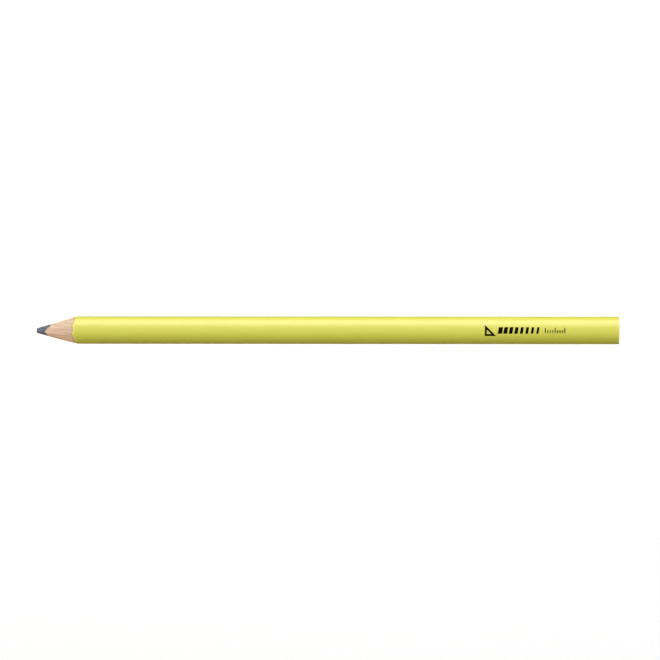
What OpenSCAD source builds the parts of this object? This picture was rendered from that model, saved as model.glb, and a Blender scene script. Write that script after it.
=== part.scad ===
// Carpenter's pencil: a flat graphite lead glued between two grooved slats, milled
// to an oval, lacquered, printed and sharpened to a flattened cone.
// Millimetres. X runs from the tip to the butt, Y across the wide faces and Z up
// through the thickness. The origin is on the surface that the pencil lies on,
// under the middle of its length.

/* [Body] */
// Length from the blunt tip of the lead to the butt
pencil_length = 240; // [175:1:300]
// Width of the finished oval body
body_width = 11.3; // [10.5:0.1:12.5]
// Thickness of the finished oval body
body_thickness = 7.2; // [6.8:0.1:8]
// Width of the flat land along the middle of each wide face, on which the pencil rests
land_width = 2.4; // [2:0.1:3]

/* [Lead] */
// Width of the flat lead
lead_width = 4.8; // [4:0.1:5.4]
// Thickness of the flat lead, which has fully rounded edges
lead_thickness = 2.5; // [2:0.1:2.8]

/* [Point] */
// Length along which the cone widens from the tip to the full body width
point_length = 16.1; // [12:0.1:22]
// Width of the blunt tip
tip_width = 1.8; // [0.8:0.1:2.4]
// Thickness of the cone as a share of its width
cone_flatness = 0.68; // [0.65:0.01:0.75]
// Distance of the tip from the middle of the body's width, as the sharpener leaves it
tip_offset = 0.2; // [0:0.05:0.5]

/* [Glue] */
// Thickness of the glue film between the slats and round the lead
glue_film = 0.08; // [0.06:0.01:0.15]

/* [Lacquer] */
// Thickness of the filler coat on the wood
undercoat_film = 0.08; // [0.06:0.01:0.12]
// Thickness of the lime yellow coat
colour_film = 0.08; // [0.06:0.01:0.12]
// Thickness of the clear top coat
clear_film = 0.06; // [0.06:0.01:0.1]

/* [Print] */
// Thickness of the black foil
foil = 0.03; // [0.03:0.01:0.05]
// Distance from the butt to the middle of the set square emblem
emblem_from_butt = 53.1; // [52:0.1:60]
// Length of the emblem's two equal sides
emblem_size = 4.6; // [3:0.1:5]
// Distance from the butt to the middle of the row of bars
bars_from_butt = 41.3; // [40:0.1:42]
// Height of the bars
bar_height = 2.7; // [1.5:0.1:3.5]
// Distance from the butt to the middle of the millimetre scale
scale_from_butt = 26.5; // [20:0.1:27]
// Height of the longest scale mark
scale_mark_height = 2.1; // [1.5:0.1:3]

/* [Hidden] */
$fn = 96;

tip_x = -pencil_length / 2;
butt_x = pencil_length / 2;
axis_z = body_thickness / 2;

// Thickness that the oval would have without its two flat lands
oval_thickness = body_thickness / sqrt(1 - pow(land_width / body_width, 2));

// Depth of each coat's inner face under the finished surface
clear_depth = clear_film;
colour_depth = clear_depth + colour_film;
wood_depth = colour_depth + undercoat_film;

// The cone's side slope, and its lean towards the front of the body
cone_slope = (body_width - tip_width) / 2 / point_length;
cone_lean = atan(tip_offset / point_length);

// Room that a cutting block needs beyond what it cuts
margin = 1;

// Emblem: the width of the set square's three limbs
emblem_limb = 0.8;

// Bars: slanting blocks at one pitch, each narrower than the one before
bar_count = 8;
bar_pitch = 2.2;
bar_widest = 1.75;
bar_narrowest = 0.9;
bar_slant = 0.5;

// Scale: a mark each millimetre, with longer first, middle and last marks
scale_steps = 8;
scale_pitch = 1;
scale_line = 0.45;
scale_minor_share = 0.55;

// --- shapes that repeat ---

// The body's bar at a depth under the finished surface: an oval along X, cut flat at
// its two lands. A negative depth is above the surface.
module oval_bar(depth, from_x = tip_x - margin, to_x = butt_x) {
    width = body_width - 2 * depth;
    slab = [to_x - from_x, body_width + margin, body_thickness - 2 * depth];
    intersection() {
        translate([from_x, 0, axis_z])
            scale([1, 1, (oval_thickness - 2 * depth) / width])
                rotate([0, 90, 0])
                    cylinder(d = width, h = slab.x);
        translate([(from_x + to_x) / 2, 0, axis_z])
            cube(slab, center = true);
    }
}

// The lead's flat bar with fully rounded edges, grown all round by extra
module lead_bar(extra = 0) {
    thickness = lead_thickness + 2 * extra;
    flat = lead_width - lead_thickness;
    translate([tip_x - margin, 0, axis_z])
        rotate([90, 0, 90])
            linear_extrude(height = pencil_length + margin)
                union() {
                    square([flat, thickness], center = true);
                    for (side = [-1, 1])
                        translate([side * flat / 2, 0])
                            circle(d = thickness);
                }
}

// All that the sharpener leaves: a flattened cone that opens from the tip. It is
// turned about the middle of its full-width end, so the tip leans off the axis.
// The quarter turn about the cone's own axis keeps its seam line off the body's.
module inside_cone() {
    reach = pencil_length + margin;
    translate([tip_x + point_length, 0, axis_z])
        rotate([0, 0, cone_lean])
            translate([-point_length, 0, 0])
                scale([1, 1, cone_flatness])
                    rotate([0, 90, 0])
                        rotate([0, 0, 90])
                            cylinder(
                                r1 = tip_width / 2,
                                r2 = tip_width / 2 + cone_slope * reach,
                                h = reach
                            );
}

// A block on one side of the seam plane and clear of it by gap: side is 1 above
// and -1 below
module half_space(side, gap) {
    size = [pencil_length + 2 * margin, body_width + 2 * margin, body_thickness];
    translate([0, 0, axis_z + side * (size.z / 2 + gap)])
        cube(size, center = true);
}

// The wooden body before it is sharpened, less the groove for the lead
module grooved_body() {
    difference() {
        oval_bar(wood_depth);
        lead_bar(glue_film);
    }
}

// --- sub-parts ---

// Fired graphite and clay lead
module graphite_core() {
    color("#5D6671")
        intersection() {
            lead_bar();
            inside_cone();
        }
}

// Film of glue round the lead
module core_glue() {
    color("#E4D9BD")
        intersection() {
            difference() {
                lead_bar(glue_film);
                lead_bar();
            }
            inside_cone();
        }
}

// Film of glue between the slats: side is -1 for the front strip and 1 for the rear
module seam_glue(side) {
    strip = [pencil_length + 2 * margin, body_width, glue_film];
    color("#E4D9BD")
        intersection() {
            grooved_body();
            translate([0, side * strip.y / 2, axis_z])
                cube(strip, center = true);
            inside_cone();
        }
}

// Half of the wooden body, with half of the groove: side is 1 above and -1 below
module slat(side) {
    color("#DDBFA0")
        intersection() {
            grooved_body();
            half_space(side, glue_film / 2);
            inside_cone();
        }
}

// A coat of lacquer between two depths, open at the point and at the butt
module coat(outer_depth, inner_depth, tone) {
    color(tone)
        intersection() {
            difference() {
                oval_bar(outer_depth);
                oval_bar(inner_depth, tip_x - 2 * margin, butt_x + margin);
            }
            inside_cone();
        }
}

// Foil on the upper wide face, cut to a flat outline drawn round its own centre;
// reach is a length along X that is sure to cover the outline either way
module printed(from_butt, reach) {
    centre_x = butt_x - from_butt;
    color("#17150F")
        intersection() {
            difference() {
                oval_bar(-foil, centre_x - reach, centre_x + reach);
                oval_bar(0, centre_x - reach - margin, centre_x + reach + margin);
            }
            translate([centre_x, 0, axis_z])
                linear_extrude(height = body_thickness)
                    children();
        }
}

// Set square: a right-angled triangle with a smaller one cut out of it
module print_emblem() {
    leg = emblem_size;
    // the slanting limb is as wide as the other two when the cut-out's legs are this long
    hole = leg - emblem_limb * (2 + sqrt(2));
    printed(emblem_from_butt, leg)
        translate([-leg / 2, -leg / 2])
            difference() {
                polygon([[0, 0], [leg, 0], [0, leg]]);
                translate([emblem_limb, emblem_limb])
                    polygon([[0, 0], [hole, 0], [0, hole]]);
            }
}

// Row of slanting bars that grow narrower towards the butt
module print_bars() {
    row = bar_pitch * (bar_count - 1);
    lean = bar_slant / 2;
    printed(bars_from_butt, row)
        for (i = [0 : bar_count - 1]) {
            middle = -row / 2 + i * bar_pitch;
            half = (bar_widest + (bar_narrowest - bar_widest) * i / (bar_count - 1)) / 2;
            polygon([
                [middle - half - lean, -bar_height / 2],
                [middle + half - lean, -bar_height / 2],
                [middle + half + lean, bar_height / 2],
                [middle - half + lean, bar_height / 2]
            ]);
        }
}

// Short millimetre scale, whose marks all start from one line
module print_scale() {
    row = scale_pitch * scale_steps;
    printed(scale_from_butt, row)
        for (i = [0 : scale_steps]) {
            is_long = i % (scale_steps / 2) == 0;
            height = scale_mark_height * (is_long ? 1 : scale_minor_share);
            translate([i * scale_pitch - (row + scale_line) / 2, -scale_mark_height / 2])
                square([scale_line, height]);
        }
}

graphite_core();
core_glue();
seam_glue(-1);  // seam_glue_front
seam_glue(1);  // seam_glue_rear
slat(-1);  // lower_slat
slat(1);  // upper_slat
coat(colour_depth, wood_depth, "#C9B084");  // undercoat
coat(clear_depth, colour_depth, "#E6E45D");  // colour_coat
coat(0, clear_depth, "#F2F0A0");  // clear_coat
print_emblem();
print_bars();
print_scale();
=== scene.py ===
import functools
import math

import bmesh
import bpy
import numpy as np
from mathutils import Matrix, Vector


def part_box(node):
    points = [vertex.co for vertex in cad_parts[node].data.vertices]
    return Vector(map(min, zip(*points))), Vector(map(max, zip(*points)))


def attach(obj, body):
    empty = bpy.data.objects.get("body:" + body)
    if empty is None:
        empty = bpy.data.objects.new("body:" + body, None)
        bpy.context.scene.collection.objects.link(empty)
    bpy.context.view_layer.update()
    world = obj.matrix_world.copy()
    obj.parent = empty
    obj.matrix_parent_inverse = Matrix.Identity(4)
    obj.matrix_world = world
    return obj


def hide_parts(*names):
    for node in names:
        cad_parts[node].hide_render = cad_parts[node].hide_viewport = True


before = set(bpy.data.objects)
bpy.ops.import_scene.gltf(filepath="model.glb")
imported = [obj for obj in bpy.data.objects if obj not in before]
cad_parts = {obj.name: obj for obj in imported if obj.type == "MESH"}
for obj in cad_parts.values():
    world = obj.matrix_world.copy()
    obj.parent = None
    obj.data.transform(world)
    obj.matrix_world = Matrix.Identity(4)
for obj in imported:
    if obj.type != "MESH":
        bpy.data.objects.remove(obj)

# A carpenter's pencil: a flat lead glued between two slats, milled to an oval, filled,
# lacquered, stamped with black foil and sharpened to a flattened cone.
# Shapes are worked out in millimetres, as distances from the tip along the pencil (X), from
# its axis across the wide faces (Y, whose plus side is the rear) and from its axis through
# the thickness (Z).

MM = 0.001
TURN = 2 * math.pi
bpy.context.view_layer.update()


# --- sizes from the frame ---

def box_mm(node):
    """Lowest and highest corner of a CAD node, in millimetres."""
    low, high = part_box(node)
    return np.array(low) / MM, np.array(high) / MM


def half_width(node):
    """How far a CAD node reaches from the pencil's axis towards the rear."""
    return box_mm(node)[1][1]


lead_low, lead_high = box_mm("graphite_core")
seam_low, seam_high = box_mm("seam_glue_front")

TIP_X = lead_low[0]
LENGTH = lead_high[0] - lead_low[0]
AXIS_Z = (lead_low[2] + lead_high[2]) / 2
# The pencil lies on a wide face, so its axis is half its thickness up
HALF_THICKNESS = AXIS_Z
HALF_WIDTH = half_width("clear_coat")
LEAD_HALF_WIDTH = half_width("graphite_core")
LEAD_HALF_THICKNESS = (lead_high[2] - lead_low[2]) / 2
GLUE_FILM = half_width("core_glue") - LEAD_HALF_WIDTH
HALF_SEAM = (seam_high[2] - seam_low[2]) / 2

# Depth of each layer's outer face under the finished surface
FILLER_DEPTH = HALF_WIDTH - half_width("undercoat")
WOOD_DEPTH = HALF_WIDTH - half_width("upper_slat")


# --- the sharpened cone and the sections that it cuts ---

# A little flatter than the frame's cone, and slightly hollow: CONE_HOLLOW is the share of its
# growth that it has lost where it meets the finished body
TIP_WIDTH = 1.8
POINT_LENGTH = 16.1
CONE_FLATNESS = 0.667
CONE_HOLLOW = 0.045
CONE_SLOPE = (HALF_WIDTH - TIP_WIDTH / 2) / POINT_LENGTH

# How the blade met the tip: its middle's distance in front of the axis, how much fuller the
# front is than the rear, and how much flatter the wide faces are than the corners beside
# them, which begin where the squared sine of the angle falls under FACET_EDGE. The last two
# fade over TIP_REACH, a share of the point's length.
TIP_OFFSET = 0.2
TIP_LEAN = 0.32
TIP_FACET = 0.4
FACET_EDGE = 0.8
TIP_REACH = 0.35

# What the blade left round the cone, in shares of its growth: even ridges on the wide faces,
# one more on the upper face (height, angle, width) and small waves (height, count, phase)
RIDGE_HEIGHT = 0.013
RIDGE_WAVES = 8.6
EXTRA_RIDGE = (0.008, 1.95, 0.2)
SMALL_WAVES = ((0.002, 11, 1.0), (0.0015, 17, 2.2))


def blade_wave(turn):
    """How the cone's growth departs from even, as a share of it, at each angle round the cone.

    The even ridges are a cosine wave that fades out towards the narrow sides, the extra ridge
    is a bell curve, and the small waves are sines.
    """
    from_upright = (turn % math.pi) - math.pi / 2
    ridges = -RIDGE_HEIGHT * np.cos(RIDGE_WAVES * from_upright) * np.cos(from_upright) ** 4
    height, angle, width = EXTRA_RIDGE
    extra_ridge = height * np.exp(-((turn - angle) / width) ** 2)
    small = sum(height * np.sin(count * turn + phase) for height, count, phase in SMALL_WAVES)
    return ridges + extra_ridge + small


def cone_point(distance, turn):
    """Across and up from the axis on the sharpened cone, at a distance from the tip.

    At each angle the cone's half-width grows in proportion to the distance, less its
    hollowness. Its middle keeps the tip's offset for most of the way and then drifts to the
    axis. Its height is its width times the flatness. Near the tip the section is flatter on
    its wide faces, fuller between those and its narrow sides, and fuller towards the front,
    as if the pencil had leaned over in the sharpener.
    """
    share = distance / POINT_LENGTH
    growth = CONE_SLOPE * distance * (1 - CONE_HOLLOW * share)
    half = TIP_WIDTH / 2 + growth * (1 + blade_wave(turn))
    middle = -TIP_OFFSET * np.clip(1 - share ** 4, 0, 1)
    lean = TIP_LEAN * np.cos(turn) * np.abs(np.sin(turn))
    facet = TIP_FACET * (np.sin(turn) ** 2 - FACET_EDGE)
    fullness = 1 - np.exp(-(share / TIP_REACH) ** 2) * (lean + facet)
    return middle + half * np.cos(turn), CONE_FLATNESS * half * np.sin(turn) * fullness


def oval(depth):
    """How many times too large a point is for the body's oval at a depth: 1 on its outline."""
    def size(y, z):
        return np.hypot(y / (HALF_WIDTH - depth), z / (HALF_THICKNESS - depth))
    return size


def lead_bar(extra):
    """How many times too large a point is for the flat lead with round edges, grown by extra.

    It is the distance from the bar's flat middle line over the bar's half-thickness.
    """
    flat = LEAD_HALF_WIDTH - LEAD_HALF_THICKNESS

    def size(y, z):
        past_flat = np.maximum(np.abs(y) - flat, 0)
        return np.hypot(past_flat, z) / (LEAD_HALF_THICKNESS + extra)
    return size


def where_cut(section, turn, halvings=50):
    """Distance from the tip at which the cone reaches a section's outline, by halving."""
    near, far = np.zeros_like(turn), np.full_like(turn, 1.5 * POINT_LENGTH)
    for _ in range(halvings):
        middle = (near + far) / 2
        inside = section(*cone_point(middle, turn)) < 1
        near, far = np.where(inside, middle, near), np.where(inside, far, middle)
    return (near + far) / 2


def on_cone(distance, turn):
    """Points on the cone as an array with X, Y and Z last."""
    y, z = cone_point(distance, turn)
    return np.stack([distance + 0 * turn, y, z], axis=-1)


def cone_rows(start, end, turn, shares):
    """Rows of points up the cone, each a share of the way from one distance to another."""
    return np.stack([on_cone(start + (end - start) * share, turn) for share in shares])


def rows_between(start, end, shares):
    """One row of points for each share of the straight way from start to end."""
    return start + (end - start) * np.asarray(shares)[:, None, None]


def bend(start, corner, end, steps):
    """Rows that round a corner off: a quadratic curve from start to end, pulled to the corner."""
    t = np.linspace(0, 1, steps)[:, None, None]
    return (1 - t) ** 2 * start + 2 * t * (1 - t) * corner + t ** 2 * end


def along(points, distance):
    """The same points moved along the pencil to a distance from the tip."""
    moved = points.copy()
    moved[..., 0] = distance
    return moved


def uneven(turn, waves, size, seed):
    """A smooth random line round the pencil: sine waves of rising count and random phase."""
    rng = np.random.default_rng(seed)
    count = np.array(waves)[:, None]
    height = rng.uniform(0.4, 1.0, count.shape)
    phase = rng.uniform(0, TURN, count.shape)
    return size * (height * np.sin(count * turn + phase)).sum(axis=0) / math.sqrt(len(count))


# --- making pieces ---

# Faces that meet more steeply than this many degrees have a sharp edge between them
CREASE = 28
# Points closer than this many millimetres are the same point
SAME_POINT = 1e-4


def grid_faces(rows, columns, first, ring):
    """Four-cornered faces between the neighbours on a grid whose columns may close in a ring."""
    row = np.arange(rows - 1)[:, None] * columns
    column = np.arange(columns if ring else columns - 1)[None, :]
    beside = (column + 1) % columns
    corners = [row + column, row + beside, row + columns + beside, row + columns + column]
    shape = (rows - 1, column.size)
    return first + np.stack([np.broadcast_to(corner, shape) for corner in corners], -1).reshape(-1, 4)


def make_piece(name, grids, material, stands_for, marks=None):
    """Makes a closed piece from grids of points in millimetres, welded where they meet.

    grids holds (points, ring): points by row and column, and whether the columns close.
    marks is one value for each row of the first grid, kept as the attribute "mark".
    """
    sizes = [points.shape[0] * points.shape[1] for points, ring in grids]
    firsts = np.cumsum([0] + sizes)
    faces = [grid_faces(points.shape[0], points.shape[1], first, ring)
             for (points, ring), first in zip(grids, firsts)]
    corners = np.concatenate([points.reshape(-1, 3) for points, ring in grids])
    mesh = bpy.data.meshes.new(name)
    mesh.from_pydata((corners + [TIP_X, 0, AXIS_Z]) * MM, [], np.concatenate(faces))
    if marks is not None:
        values = np.zeros(len(corners))
        values[:sizes[0]] = np.repeat(marks, grids[0][0].shape[1])
        mesh.attributes.new("mark", "FLOAT", "POINT").data.foreach_set("value", values)
    weld(mesh)
    mesh.shade_smooth()
    mesh.set_sharp_from_angle(angle=math.radians(CREASE))
    mesh.materials.append(material)
    made = bpy.data.objects.new(name, mesh)
    bpy.context.collection.objects.link(made)
    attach(made, "root")
    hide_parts(*stands_for)


def weld(mesh):
    """Merges the doubled points of seams and poles, and turns the faces outwards."""
    shape = bmesh.new()
    shape.from_mesh(mesh)
    bmesh.ops.remove_doubles(shape, verts=shape.verts, dist=SAME_POINT * MM)
    bmesh.ops.recalc_face_normals(shape, faces=shape.faces)
    shape.to_mesh(mesh)
    shape.free()


# --- shaders ---

# A Mix node that blends colours: its settings and output, and the numbers of its inputs
COLOURS = {"data_type": "RGBA", "out": 2}
SHARE, FROM, TO = 0, 6, 7


def linear(colour):
    """An sRGB hex colour as linear red, green, blue and alpha."""
    shares = [int(colour[i:i + 2], 16) / 255 for i in (1, 3, 5)]
    return [s / 12.92 if s <= 0.04045 else ((s + 0.055) / 1.055) ** 2.4 for s in shares] + [1]


def add_node(tree, kind, sockets=None, out=0, **settings):
    """Adds a node with its settings and gives back one of its outputs.

    sockets holds the value of each input, or the output that is linked to it.
    """
    made = tree.nodes.new("ShaderNode" + kind)
    for name, value in settings.items():
        setattr(made, name, value)
    for name, value in (sockets or {}).items():
        if isinstance(value, bpy.types.NodeSocket):
            tree.links.new(value, made.inputs[name])
        else:
            made.inputs[name].default_value = value
    return made.outputs[out] if len(made.outputs) else None


def make_material(finish, *details, place=""):
    """A material named for its finish and place: one shader, with the finish's sockets."""
    material = bpy.data.materials.new(finish.__name__ + place)
    material.use_nodes = True
    tree = material.node_tree
    tree.nodes.clear()
    add = functools.partial(add_node, tree)
    shader = add("BsdfPrincipled", finish(add, *details))
    add("OutputMaterial", {"Surface": shader})
    return material


def mottle(add, lump_mm, detail=2.0, shift_mm=(0, 0, 0)):
    """Noise from 0 to 1 whose lumps have a real size along each axis, in millimetres."""
    place = add("Mapping", {
        "Vector": add("TexCoord", out="Object"),
        "Location": [shift / lump for shift, lump in zip(shift_mm, lump_mm)],
        "Scale": [1 / (lump * MM) for lump in lump_mm],
    })
    return add("TexNoise", {"Vector": place, "Scale": 1.0, "Detail": detail})


# --- materials ---

def fired_graphite(add):
    """Pencil lead: graphite and clay, fired and soaked in wax.

    It looks blue grey with a soft sheen, streaks that the blade rubbed along the cone, and
    paler glints. The real grain is about 0.01 mm, too fine to show, so it is drawn coarser.
    """
    grain = mottle(add, (0.5, 0.12, 0.12), 4.0)
    streaks = mottle(add, (2.4, 0.35, 0.5), 3.0, (3, 1, 0))
    streaked = add("MapRange", {"Value": streaks, "From Min": 0.35, "From Max": 0.65})
    tone = add("Mix", {SHARE: streaked, FROM: linear("#414A54"), TO: linear("#6A7480")}, **COLOURS)
    glint = add("MapRange", {"Value": grain, "From Min": 0.55, "From Max": 0.75, "To Max": 0.35})
    return {
        "Base Color": add("Mix", {SHARE: glint, FROM: tone, TO: linear("#848D97")}, **COLOURS),
        "Roughness": add("MapRange", {
            "Value": grain, "From Min": 0.3, "From Max": 0.7, "To Min": 0.6, "To Max": 0.42}),
        "Normal": add("Bump", {"Height": grain, "Distance": 0.02 * MM}),
        "IOR": 1.55,
    }


def dried_glue(add):
    """White wood glue, dried between wood and lead: a thin tan line, patchy and hardly shiny."""
    lumps = mottle(add, (0.8, 0.2, 0.2))
    patchy = add("MapRange", {"Value": lumps, "From Min": 0.35, "From Max": 0.65})
    return {
        "Base Color": add("Mix", {
            SHARE: patchy, FROM: linear("#B89C78"), TO: linear("#CDB694")}, **COLOURS),
        "Roughness": 0.5,
        "IOR": 1.46,
    }


def pencil_wood(add, pith_mm, heart_and_light_mm, shift_mm):
    """Pencil wood, milled and then cut to a point: pale, close and straight grain, not sealed.

    Growth rings are cylinders round a far-off pith that runs along the pencil, so that they
    show as long streaks on the cut and as arcs on the end. Each ring darkens slowly to its
    late wood and turns pale again at once. The wood nearer the pith than the given heart
    radius is tinted redder and lighter, and that runs out towards the butt. The tint is partly
    real heartwood and partly painted light: on the upper slat it lies on the front side, which
    the key leaves in shade, and lightens it. Where the mark is 1 the filler has stained the wood.
    Fibres and pores are really about 0.05 mm wide, and are drawn coarser so that they show.
    """
    # How far apart the rings are and how far they sway, in millimetres, and the share of a
    # ring at which its late wood ends
    ring_spacing = 1.15
    ring_sway = 1.4
    late_end = 0.92
    # The heart's tint, partly real heartwood and partly painted light that makes the shaded
    # front of the upper slat redder and lighter, the millimetres over which it fades outwards,
    # and the millimetres that its radius loses for each one along the pencil
    heart_tint_and_painted_light = (1.53, 1.32, 1.18, 1)
    heart_and_light_fade = 4.0
    heart_and_light_runs_out = 0.02

    pith_place = add("Mapping", {
        "Vector": add("TexCoord", out="Object"), "Location": pith_mm, "Scale": (0, 1 / MM, 1 / MM)})
    radius = add("VectorMath", {0: pith_place}, "Value", operation="LENGTH")
    sway = mottle(add, (22, 3, 3), 1.0, shift_mm)
    radius = add("Math", {0: sway, 1: ring_sway, 2: radius}, operation="MULTIPLY_ADD")
    rings = add("Math", {0: radius, 1: ring_spacing}, operation="DIVIDE")
    ring = add("Math", {0: rings}, operation="FRACT")
    late_wood = add("MapRange", {"Value": ring, "From Min": 0.3, "From Max": late_end})
    next_ring = add("MapRange", {
        "Value": ring, "From Min": late_end, "From Max": 1.0, "To Min": 0.6, "To Max": 0.0})
    late_wood = add("Math", {0: late_wood, 1: next_ring}, operation="MULTIPLY")

    fibres = mottle(add, (7, 0.16, 0.16), 3.0, shift_mm)
    streaks = mottle(add, (16, 0.6, 0.8), 2.0, shift_mm)
    pores = mottle(add, (1.6, 0.07, 0.07), 1.0, shift_mm)
    streaked = add("MapRange", {
        "Value": streaks, "From Min": 0.42, "From Max": 0.66, "To Max": 0.5})
    pale_fibre = add("MapRange", {
        "Value": fibres, "From Min": 0.5, "From Max": 0.8, "To Max": 0.5})
    pore = add("MapRange", {"Value": pores, "From Min": 0.66, "From Max": 0.78, "To Max": 0.6})
    tone = add("Mix", {SHARE: late_wood, FROM: linear("#D8C2A7"), TO: linear("#BC9674")}, **COLOURS)
    tone = add("Mix", {SHARE: streaked, FROM: tone, TO: linear("#C59C7E")}, **COLOURS)
    tone = add("Mix", {SHARE: pale_fibre, FROM: tone, TO: linear("#EDD8BF")}, **COLOURS)
    tone = add("Mix", {SHARE: pore, FROM: tone, TO: linear("#8F6B4C")}, **COLOURS)

    along_pencil = add("SeparateXYZ", {0: add("TexCoord", out="Object")}, "X")
    # Painted light, partly real heartwood: wood near the pith is multiplied redder and lighter, which
    # on the upper slat brightens the front side that lies in shade
    heart_and_light_radius = add("Math", {
        0: along_pencil, 1: heart_and_light_runs_out / MM, 2: radius}, operation="MULTIPLY_ADD")
    heart_and_painted_light = add("MapRange", {
        "Value": heart_and_light_radius, "From Min": heart_and_light_mm + heart_and_light_fade, "From Max": heart_and_light_mm})
    tone = add("Mix", {SHARE: heart_and_painted_light, FROM: tone, TO: heart_tint_and_painted_light}, **COLOURS, blend_type="MULTIPLY")
    mark = add("Attribute", out="Fac", attribute_name="mark")
    stain = add("MapRange", {"Value": mark, "To Max": 0.5})
    tone = add("Mix", {SHARE: stain, FROM: tone, TO: linear("#AA8A70")}, **COLOURS)
    furry = add("Bump", {"Height": fibres, "Distance": 0.03 * MM})
    return {
        "Base Color": tone,
        "Roughness": add("MapRange", {
            "Value": fibres, "From Min": 0.3, "From Max": 0.7, "To Min": 0.8, "To Max": 0.62}),
        "Normal": add("Bump", {"Height": pores, "Distance": 0.03 * MM, "Normal": furry}, invert=True),
        "IOR": 1.5,
    }


def filler_coat(add):
    """Filler and primer under the colour: matt, and stained brown where the blade dragged it.

    All that shows of it is a dull line between the wood and the colour.
    """
    stain = mottle(add, (0.6, 0.5, 0.5), 3.0)
    stained = add("MapRange", {"Value": stain, "From Min": 0.35, "From Max": 0.65})
    return {
        "Base Color": add("Mix", {
            SHARE: stained, FROM: linear("#BEA28C"), TO: linear("#D6BFA9")}, **COLOURS),
        "Roughness": 0.8,
        "IOR": 1.5,
    }


def lime_lacquer(add):
    """Lime yellow pencil lacquer under a clear coat: smooth, softly shiny, a little wavy.

    The waves run along the pencil, as it was drawn through the lacquer, and spread the
    highlight. Where the mark is 1 a blade has cut through, which leaves it matt and vivid.
    """
    cut = add("Attribute", out="Fac", attribute_name="mark")
    cloud = mottle(add, (9, 2.5, 2.5))
    cloudy = add("MapRange", {"Value": cloud, "From Min": 0.3, "From Max": 0.7})
    smooth = add("Mix", {SHARE: cloudy, FROM: linear("#DBDA53"), TO: linear("#DEDD58")}, **COLOURS)
    ripple = mottle(add, (12, 0.4, 0.4))
    return {
        "Base Color": add("Mix", {SHARE: cut, FROM: smooth, TO: linear("#E6E54A")}, **COLOURS),
        "Roughness": add("MapRange", {"Value": cut, "To Min": 0.37, "To Max": 0.75}),
        "Normal": add("Bump", {"Height": ripple, "Distance": 0.006 * MM}),
        "Specular Tint": (1.0, 0.7, 1.0, 1.0),
        "Specular IOR Level": 0.74,
        "IOR": 1.5,
        "Coat Weight": 0.33,
        "Coat Roughness": 0.37,
        "Coat IOR": 1.5,
    }


def stamped_foil(add):
    """Black pigment foil, hot stamped: thin, almost matt, with fine bare specks.

    The lacquer shows through the specks. Real ones are about 0.03 mm, and are drawn coarser.
    """
    specks = mottle(add, (0.12, 0.08, 0.08))
    bare = add("MapRange", {"Value": specks, "From Min": 0.69, "From Max": 0.75})
    return {
        "Base Color": add("Mix", {
            SHARE: bare, FROM: linear("#060504"), TO: linear("#6A6926")}, **COLOURS),
        "Roughness": add("MapRange", {
            "Value": specks, "From Min": 0.3, "From Max": 0.7, "To Min": 0.5, "To Max": 0.65}),
        "Specular IOR Level": 0.1,
        "IOR": 1.5,
    }


# --- wood, lead, glue and lacquer ---

# How many points go round a section, and the rows up the cone and along the body as shares
# of the way, closer together at the paint's edge
COLUMNS = 288
CONE_SHARES = np.concatenate([np.linspace(0, 0.95, 42), [0.96, 0.97, 0.98, 0.99, 1]])
BODY_SHARES = np.concatenate([[0.001, 0.003, 0.008, 0.02], np.linspace(0.04, 1, 56)])

# The blunt tip: its flat part as a share of its width, how far up the cone its worn rim
# reaches, and how deep the rim has crumbled
FLAT_TIP = 0.86
WORN_RIM = 0.15
CRUMBLE = 0.03

# A slanting cut through a film: the share of it that is rounded at the lip, and the share of
# its length that chips always leave
ROUNDED_CUT = 0.3
LEAST_CUT = 0.3

# Where the filler begins to stain the wood, and over how much it comes to its full strength,
# as shares of the way up the cone from the groove to the shoulder
STAIN_START = 0.945
STAIN_FADE = 0.045


def lead_piece():
    """The lead: its blunt tip, its share of the cone, then a flat bar with round edges.

    Rows run from the middle of the tip to the middle of the butt, and columns round it.
    """
    turn = np.linspace(0, TURN, COLUMNS, endpoint=False)
    cut = where_cut(lead_bar(0), turn)
    bar = on_cone(cut, turn)
    tip_rim = on_cone(0, turn)
    tip_middle = np.array([0.0, -TIP_OFFSET, 0.0]) + 0 * tip_rim
    crumble = np.abs(uneven(turn, range(5, 40, 3), CRUMBLE, 4))[:, None] * [1, 0, 0]
    worn_from = tip_middle + FLAT_TIP * (tip_rim - tip_middle)
    worn_to = on_cone(WORN_RIM, turn)
    face = rows_between(tip_middle, worn_from, np.linspace(0, 0.92, 5))
    edge = bend(worn_from, tip_rim, worn_to, 6)
    edge[1:-1] += crumble
    cone = cone_rows(WORN_RIM + 0 * turn, cut, turn, np.linspace(0, 1, 30)[1:])
    butt = along(bar, LENGTH)
    body = rows_between(bar, butt, np.linspace(0, 1, 40)[1:])
    end_middle = np.array([LENGTH, 0.0, 0.0]) + 0 * butt
    end = rows_between(butt, end_middle, np.linspace(0, 1, 6)[1:])
    points = np.concatenate([face, edge, cone, body, end])
    make_piece("lead", [(points, True)], graphite, ["graphite_core"])


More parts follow.
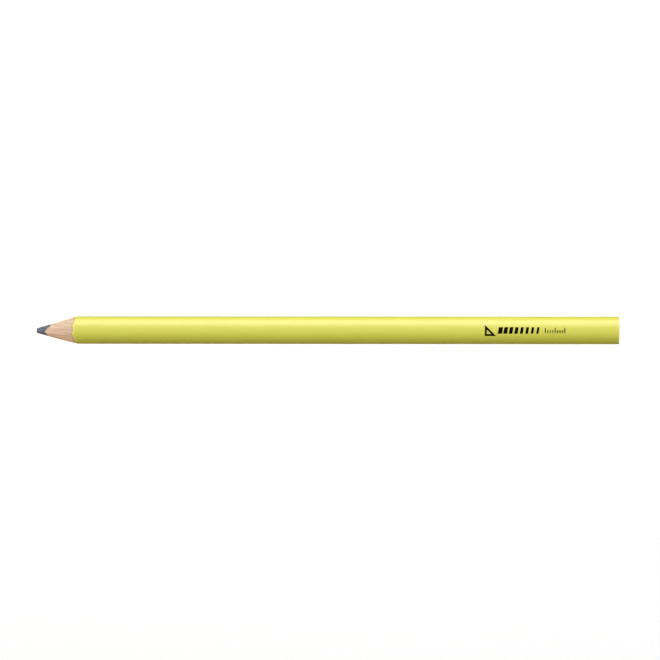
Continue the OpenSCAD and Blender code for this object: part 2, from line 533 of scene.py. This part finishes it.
def sleeve(name, outer, inner, material, stands_for, lip, bluntness=1.0, chips=0.0, seed=1):
    """A film between two sections that the cone cuts slantwise and the saw cuts square.

    The rows go up the slanting cut, round its lip, along the outside, round the butt's edge,
    down the sawn end and back along the inside, and the last row meets the first. lip is how
    far the rounding reaches along the outside, bluntness is the cut's length as a share of
    what the cone alone would leave, and chips moves the cut's outer edge back and forth. The
    mark is 1 on the cut and half round its lip, on the sawn end and on the inside.
    """
    turn = np.linspace(0, TURN, COLUMNS, endpoint=False)
    inside = on_cone(where_cut(inner, turn), turn)
    outside = on_cone(where_cut(outer, turn), turn)
    cut_length = (outside[:, 0] - inside[:, 0]) * bluntness
    chip = uneven(turn, range(23, 140, 9), chips, seed)
    outside = along(outside, inside[:, 0] + np.maximum(cut_length + chip, LEAST_CUT * cut_length))
    film = np.linalg.norm(outside[:, 1:] - inside[:, 1:], axis=1).min()
    cut_end = outside + (inside - outside) * ROUNDED_CUT
    lip_end = along(outside, outside[:, 0] + lip)
    butt_out, butt_in = along(outside, LENGTH), along(inside, LENGTH)
    edge_start = along(outside, LENGTH - film / 2)
    edge_end = (butt_out + butt_in) / 2
    cut = rows_between(inside, cut_end, np.linspace(0, 1, 5))
    rounded = bend(cut_end, outside, lip_end, 6)[1:]
    body = rows_between(lip_end, edge_start, BODY_SHARES)
    edge = bend(edge_start, butt_out, edge_end, 5)[1:]
    end = rows_between(edge_end, butt_in, [0.5, 1])
    back = rows_between(butt_in, inside, np.linspace(0, 1, 16)[1:])
    points = np.concatenate([cut, rounded, body, edge, end, back])
    marks = np.zeros(len(points))
    marks[:len(cut) + (len(rounded) + 1) // 2] = 1
    marks[-len(back) - len(end):] = 1
    make_piece(name, [(points, True)], material, stands_for, marks)


def wood_faces(turn):
    """The wood's outer face and its groove for the lead, by station along the pencil and angle.

    Stations go up the cone from the groove to the shoulder and on along the body to the butt.
    At the first one the outer face meets the groove in a thin edge.
    """
    groove_cut = where_cut(lead_bar(GLUE_FILM), turn)
    shoulder_cut = where_cut(oval(WOOD_DEPTH), turn)
    cone = cone_rows(groove_cut, shoulder_cut, turn, CONE_SHARES)
    outside = np.concatenate([cone, rows_between(cone[-1], along(cone[-1], LENGTH), BODY_SHARES)])
    groove = np.broadcast_to(cone[0], outside.shape).copy()
    groove[..., 0] = outside[..., 0]
    return outside, groove


def slat(name, node, side, material):
    """Half of the wooden body with half of the groove: side is 1 above the seam, -1 below.

    Each station is a closed outline: over the outside from the rear to the front, in along
    the seam, back through the groove and out along the seam. A last grid closes the sawn end.
    The mark rises to 1 just before the shoulder, where the filler has stained the wood.
    """
    outside, groove = wood_faces((side * np.linspace(0, math.pi, COLUMNS // 2 + 1)) % TURN)
    for face in (outside, groove):
        face[..., 2] = side * np.maximum(side * face[..., 2], HALF_SEAM)
    seam = np.linspace(0, 1, 9)[None, 1:-1, None]
    front = outside[:, -1:] + (groove[:, -1:] - outside[:, -1:]) * seam
    rear = groove[:, :1] + (outside[:, :1] - groove[:, :1]) * seam
    outline = np.concatenate([outside, front, groove[:, ::-1], rear], axis=1)
    end = rows_between(outside[-1], groove[-1], np.linspace(0, 1, 9))
    stained = np.clip((CONE_SHARES - STAIN_START) / STAIN_FADE, 0, 1)
    marks = np.concatenate([stained, 0 * BODY_SHARES])
    make_piece(name, [(outline, True), (end, False)], material, [node], marks)


def glue_line(name, node, turn):
    """The glue in the seam on one side of the lead: a flat strip that fills the gap.

    Each station is a closed outline of the strip's four edges, and two grids close the ends.
    """
    outside, groove = wood_faces(np.array([turn]))
    half_film = np.array([0, 0, HALF_SEAM])
    edges = [outside - half_film, outside + half_film, groove + half_film, groove - half_film]
    outline = np.concatenate(edges, axis=1)
    caps = [(outline[station][[[0, 1], [3, 2]]], False) for station in (0, -1)]
    make_piece(name, [(outline, True), *caps], glue, [node])


# --- foil prints ---

EMBLEM_SIZE = 4.6
EMBLEM_LIMB = 0.8
BAR_COUNT = 8
BAR_PITCH = 2.2
BAR_WIDTHS = (1.75, 0.9)
BAR_SLANT = 0.5
# The bars' box reaches further at the thick end, so the row's middle is off the box's middle
ROW_SHIFT = (BAR_WIDTHS[0] - BAR_WIDTHS[1]) / 4
SCALE_STEPS = 8
SCALE_PITCH = 1.0
SCALE_LINE = 0.45
MINOR_SHARE = 0.55
FOIL_PROUD = 0.012
FOIL_SUNK = 0.02
# How far the stamped edges waver
BAR_WAVER = 0.012
SCALE_WAVER = 0.008


def print_place(node):
    """Middle of a printed node along and across the pencil, and its height across."""
    low, high = box_mm(node)
    return (low[0] + high[0]) / 2 - TIP_X, (low[1] + high[1]) / 2, high[1] - low[1]


def on_face(flat, lift):
    """Flat points (along, across) laid on the finished oval's upper face and raised by lift."""
    along_body, across = flat[..., 0], flat[..., 1]
    up = HALF_THICKNESS * np.sqrt(1 - (across / HALF_WIDTH) ** 2)
    return np.stack([along_body, across, up + lift], axis=-1)


def foil_patch(left, right):
    """Closed grids for a patch of foil between two edges that run across the pencil.

    left and right hold the same number of flat points. Rows follow the edges, and the
    columns go over the top from left to right and back underneath.
    """
    shares = np.linspace(0, 1, 7)[None, :, None]
    flat = left[:, None] + (right - left)[:, None] * shares
    top, under = on_face(flat, FOIL_PROUD), on_face(flat, -FOIL_SUNK)
    outline = np.concatenate([top, under[:, ::-1]], axis=1)
    ends = [(np.stack([top[row], under[row]]), False) for row in (0, -1)]
    return [(outline, True), *ends]


def set_square():
    """The emblem: a right-angled triangle with a smaller one cut out of it.

    Columns run round the triangle, and rows go up its outer edge, over the limb, down the
    inner edge and back underneath.
    """
    middle_x, middle_y, _ = print_place("print_emblem")
    hole = EMBLEM_SIZE - EMBLEM_LIMB * (2 + math.sqrt(2))
    corners = np.array([[0, 0], [1, 0], [0, 1], [0, 0]], float)
    place = np.linspace(0, 3, 96, endpoint=False)
    side = place.astype(int)
    round_it = corners[side] + (corners[side + 1] - corners[side]) * (place - side)[:, None]
    origin = np.array([middle_x, middle_y]) - EMBLEM_SIZE / 2
    outer = origin + round_it * EMBLEM_SIZE
    inner = origin + EMBLEM_LIMB + round_it * hole
    shares = np.linspace(0, 1, 6)[:, None, None]
    limb = outer + (inner - outer) * shares
    rows = np.concatenate([on_face(limb, FOIL_PROUD), on_face(limb[::-1], -FOIL_SUNK)])
    rows = np.concatenate([rows, rows[:1]])
    make_piece("set_square", [(rows, True)], foil, ["print_emblem"])


def bars():
    """The row of slanting bars, which grow narrower towards the butt."""
    middle_x, middle_y, height = print_place("print_bars")
    up = np.linspace(-0.5, 0.5, 15)
    grids = []
    for index in range(BAR_COUNT):
        half = (BAR_WIDTHS[0] + (BAR_WIDTHS[1] - BAR_WIDTHS[0]) * index / (BAR_COUNT - 1)) / 2
        middle = middle_x + ROW_SHIFT + (index - (BAR_COUNT - 1) / 2) * BAR_PITCH
        lean = middle + up * BAR_SLANT
        waver = uneven(up * 2 + index, range(3, 24, 4), BAR_WAVER, 20 + index)
        across = middle_y + up * height
        left = np.stack([lean - half + waver, across], axis=-1)
        right = np.stack([lean + half - waver[::-1], across], axis=-1)
        grids += foil_patch(left, right)
    make_piece("bars", grids, foil, ["print_bars"])


def scale_marks():
    """The short millimetre scale, whose marks all start from one line.

    The first, middle and last mark are full height, and the others are shorter.
    """
    middle_x, middle_y, height = print_place("print_scale")
    up = np.linspace(0, 1, 9)
    grids = []
    for index in range(SCALE_STEPS + 1):
        share = 1 if index % (SCALE_STEPS // 2) == 0 else MINOR_SHARE
        middle = middle_x + (index - SCALE_STEPS / 2) * SCALE_PITCH
        across = middle_y + height * (share * up - 0.5)
        waver = uneven(up * 2 + index, range(3, 16, 4), SCALE_WAVER, 40 + index)
        left = np.stack([middle - SCALE_LINE / 2 + waver, across], axis=-1)
        right = np.stack([middle + SCALE_LINE / 2 + waver[::-1], across], axis=-1)
        grids += foil_patch(left, right)
    make_piece("scale_marks", grids, foil, ["print_scale"])


# --- build ---

graphite = make_material(fired_graphite)
glue = make_material(dried_glue)
foil = make_material(stamped_foil)
# The upper slat's pith lies off its front, so its heart tint lightens the front of the cone, which
# the key leaves in shade: painted light, partly real heartwood
upper_wood = make_material(pencil_wood, (0, 40, 14), 39.0, (5, 0, 0), place="_upper")
lower_wood = make_material(pencil_wood, (0, -33, 22), 33.0, (71, 3, 0), place="_lower")
lead_piece()
sleeve("lead_glue", lead_bar(GLUE_FILM), lead_bar(0), glue, ["core_glue"], lip=0.01)
slat("wood_upper", "upper_slat", 1, upper_wood)
slat("wood_lower", "lower_slat", -1, lower_wood)
glue_line("glue_line_front", "seam_glue_front", math.pi)
glue_line("glue_line_rear", "seam_glue_rear", 0.0)
sleeve("filler", oval(FILLER_DEPTH), oval(WOOD_DEPTH), make_material(filler_coat),
       ["undercoat"], lip=0.02)
sleeve("lacquer", oval(0), oval(FILLER_DEPTH), make_material(lime_lacquer),
       ["colour_coat", "clear_coat"], lip=0.15, bluntness=0.6, chips=0.04, seed=7)
set_square()
bars()
scale_marks()


# --- floor, light and camera ---

# The table reaches this many metres each way, which in a low view is as far as the eye goes
TABLE_REACH = 40.0
ROOM_STRENGTH = 0.56

# Width and middle of the camera's view and its lens, in millimetres, and its roll in degrees
VIEW_WIDTH = 272.25
VIEW_MIDDLE = (0.92, 0.11)
VIEW_ROLL = 0.053
FOCAL_LENGTH = 150
SENSOR = 36
# How many metres away the camera still sees the table
FARTHEST = 100


def white_table(add):
    """White laminate, matt and nearly even, with a glow of its own that keeps it white."""
    patches = mottle(add, (400, 400, 400))
    return {
        "Base Color": add("Mix", {
            SHARE: patches, FROM: linear("#BCBCBC"), TO: linear("#BFBFBF")}, **COLOURS),
        "Roughness": 0.9,
        "Specular IOR Level": 0.2,
        "Emission Color": (1, 1, 1, 1),
        "Emission Strength": 0.55,
    }


def floor():
    """A plain white table top that throws no light back at the pencil."""
    half = TABLE_REACH
    mesh = bpy.data.meshes.new("floor")
    corners = [(-half, -half, 0), (half, -half, 0), (half, half, 0), (-half, half, 0)]
    mesh.from_pydata(corners, [], [(0, 1, 2, 3)])
    mesh.materials.append(make_material(white_table))
    made = bpy.data.objects.new("floor", mesh)
    made.visible_diffuse = False
    made.visible_glossy = False
    bpy.context.collection.objects.link(made)


def soft_box(name, tilt, size, power, heading, colour="#FFFFFF", shadow=True, shiny=True):
    """A soft box a metre from the pencil's middle, which it faces.

    It is tilted from overhead by tilt degrees, towards a heading that is 90 for the rear, -90
    for the front, 0 for the butt's side and 180 for the tip's. size is in metres and power in
    watts. A box without shadow lights what is behind the pencil too, and one that isn't shiny
    leaves no highlight on it.
    """
    lamp = bpy.data.lights.new(name, "AREA")
    lamp.shape = "RECTANGLE"
    lamp.size, lamp.size_y = size
    lamp.energy = power
    lamp.color = linear(colour)[:3]
    lamp.use_shadow = shadow
    # A lamp that is also found by the surfaces' own rays would get part of its shadows back
    lamp.cycles.use_multiple_importance_sampling = shadow
    made = bpy.data.objects.new(name, lamp)
    angle, round_up = math.radians(tilt), math.radians(heading)
    side = math.sin(angle)
    made.location = (side * math.cos(round_up), side * math.sin(round_up), math.cos(angle))
    made.rotation_euler = (0, angle, round_up)
    made.visible_glossy = shiny
    bpy.context.collection.objects.link(made)


def surroundings():
    """An even, pale room that is seen behind the table and throws no light on the pencil."""
    world = bpy.data.worlds.new("room")
    world.use_nodes = True
    background = world.node_tree.nodes["Background"].inputs
    background["Color"].default_value = (1, 1, 1, 1)
    background["Strength"].default_value = ROOM_STRENGTH
    world.cycles_visibility.diffuse = False
    world.cycles_visibility.glossy = False
    bpy.context.scene.world = world


def camera():
    """A long lens straight above the pencil."""
    data = bpy.data.cameras.new("camera")
    data.lens = FOCAL_LENGTH
    data.sensor_width = SENSOR
    data.clip_end = FARTHEST
    made = bpy.data.objects.new("camera", data)
    height = VIEW_WIDTH * FOCAL_LENGTH / SENSOR
    made.location = Vector((VIEW_MIDDLE[0], VIEW_MIDDLE[1], AXIS_Z + height)) * MM
    made.rotation_euler = (0, 0, math.radians(VIEW_ROLL))
    bpy.context.collection.objects.link(made)
    bpy.context.scene.camera = made


floor()
surroundings()
# Only the key leaves a highlight, along the rear of the upper face. The rest fill in softly
# from the other sides.
soft_box("key", 49.2, (0.75, 1.6), 14.5, heading=90, shadow=False)
soft_box("fill", 80, (0.5, 1.6), 1.0, heading=-90, shiny=False)
soft_box("bounce", 110, (0.5, 1.6), 3.6, heading=-90, shadow=False, shiny=False)
soft_box("overhead", 0, (0.6, 1.6), 3.5, heading=90, shiny=False)
soft_box("tip_side", 88, (0.5, 0.5), 8, heading=180, colour="#FFEEDD", shadow=False, shiny=False)
soft_box("butt_side", 88, (0.5, 0.5), 6, heading=0, shadow=False, shiny=False)
camera()
bpy.context.scene.view_settings.view_transform = "Standard"
